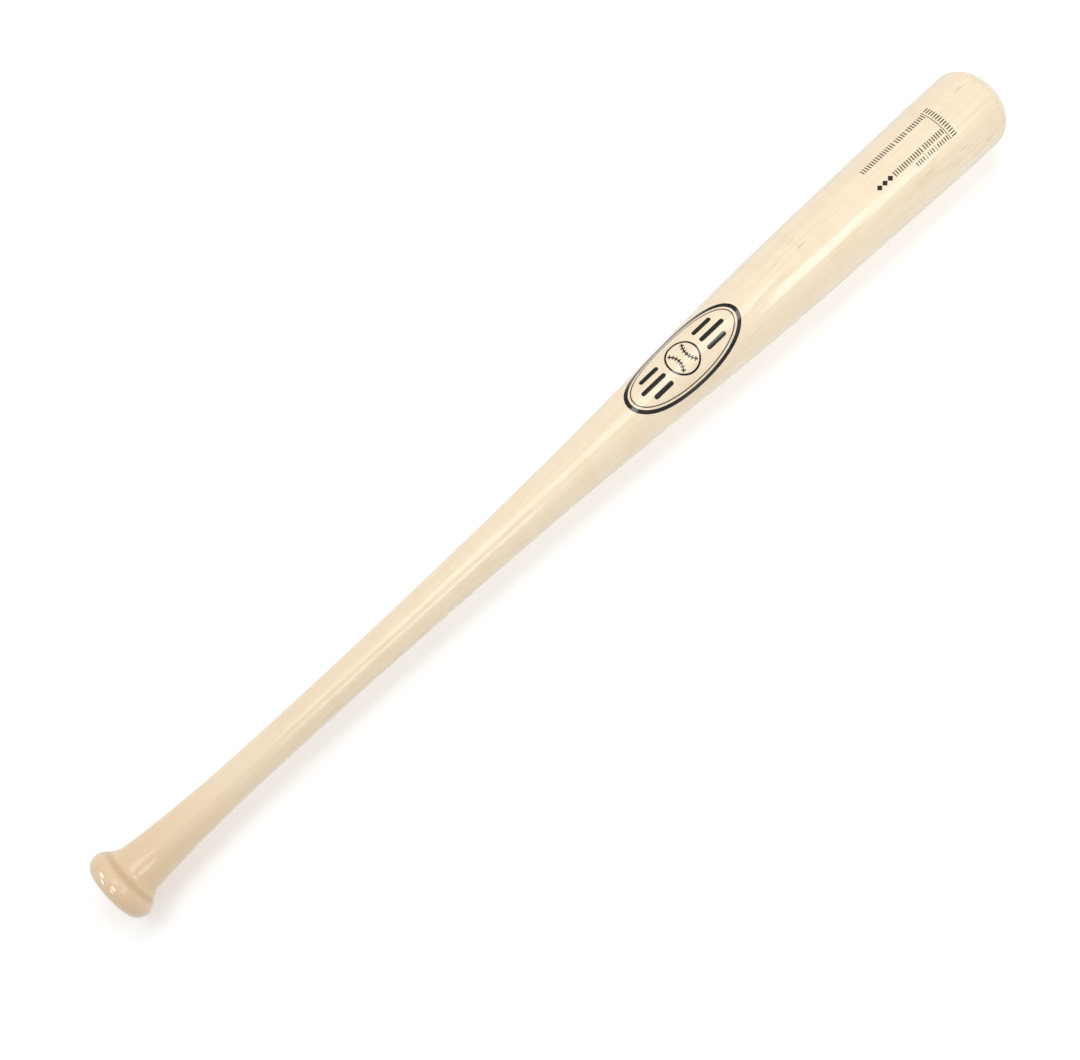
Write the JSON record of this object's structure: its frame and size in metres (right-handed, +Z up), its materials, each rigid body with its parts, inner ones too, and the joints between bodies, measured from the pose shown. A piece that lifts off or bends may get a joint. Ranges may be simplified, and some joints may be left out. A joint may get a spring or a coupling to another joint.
{
  "type": "baseball bat",
  "caption": "One-piece turned wooden baseball bat with a rounded knob, slim handle, long taper, cupped barrel end, an oval centre label and small barrel print.",
  "frame": {"origin": "centre of the flat end face of the knob, on the bat's axis", "axes": "+X along the bat from the knob to the barrel end, +Z up through the middle of the barrel print, the bat lying on its side"},
  "size_m": [0.8128, 0.0632, 0.0632],
  "materials": {
    "lacquered_maple": "clear gloss lacquer over pale maple",
    "label_film": "black gloss film under the lacquer",
    "print_ink": "dark brown ink"
  },
  "bodies": {
    "root": {"turned_body": "lacquered_maple", "label_border": "label_film", "label_pinstripe": "label_film", "label_ball": "label_film", "label_seams": "label_film", "label_bars": "label_film", "model_line": "print_ink", "series_badge": "print_ink", "series_line": "print_ink", "size_line": "print_ink", "size_dividers": "print_ink", "rule_line": "print_ink", "serial_row": "print_ink"}
  },
  "joints": []
}
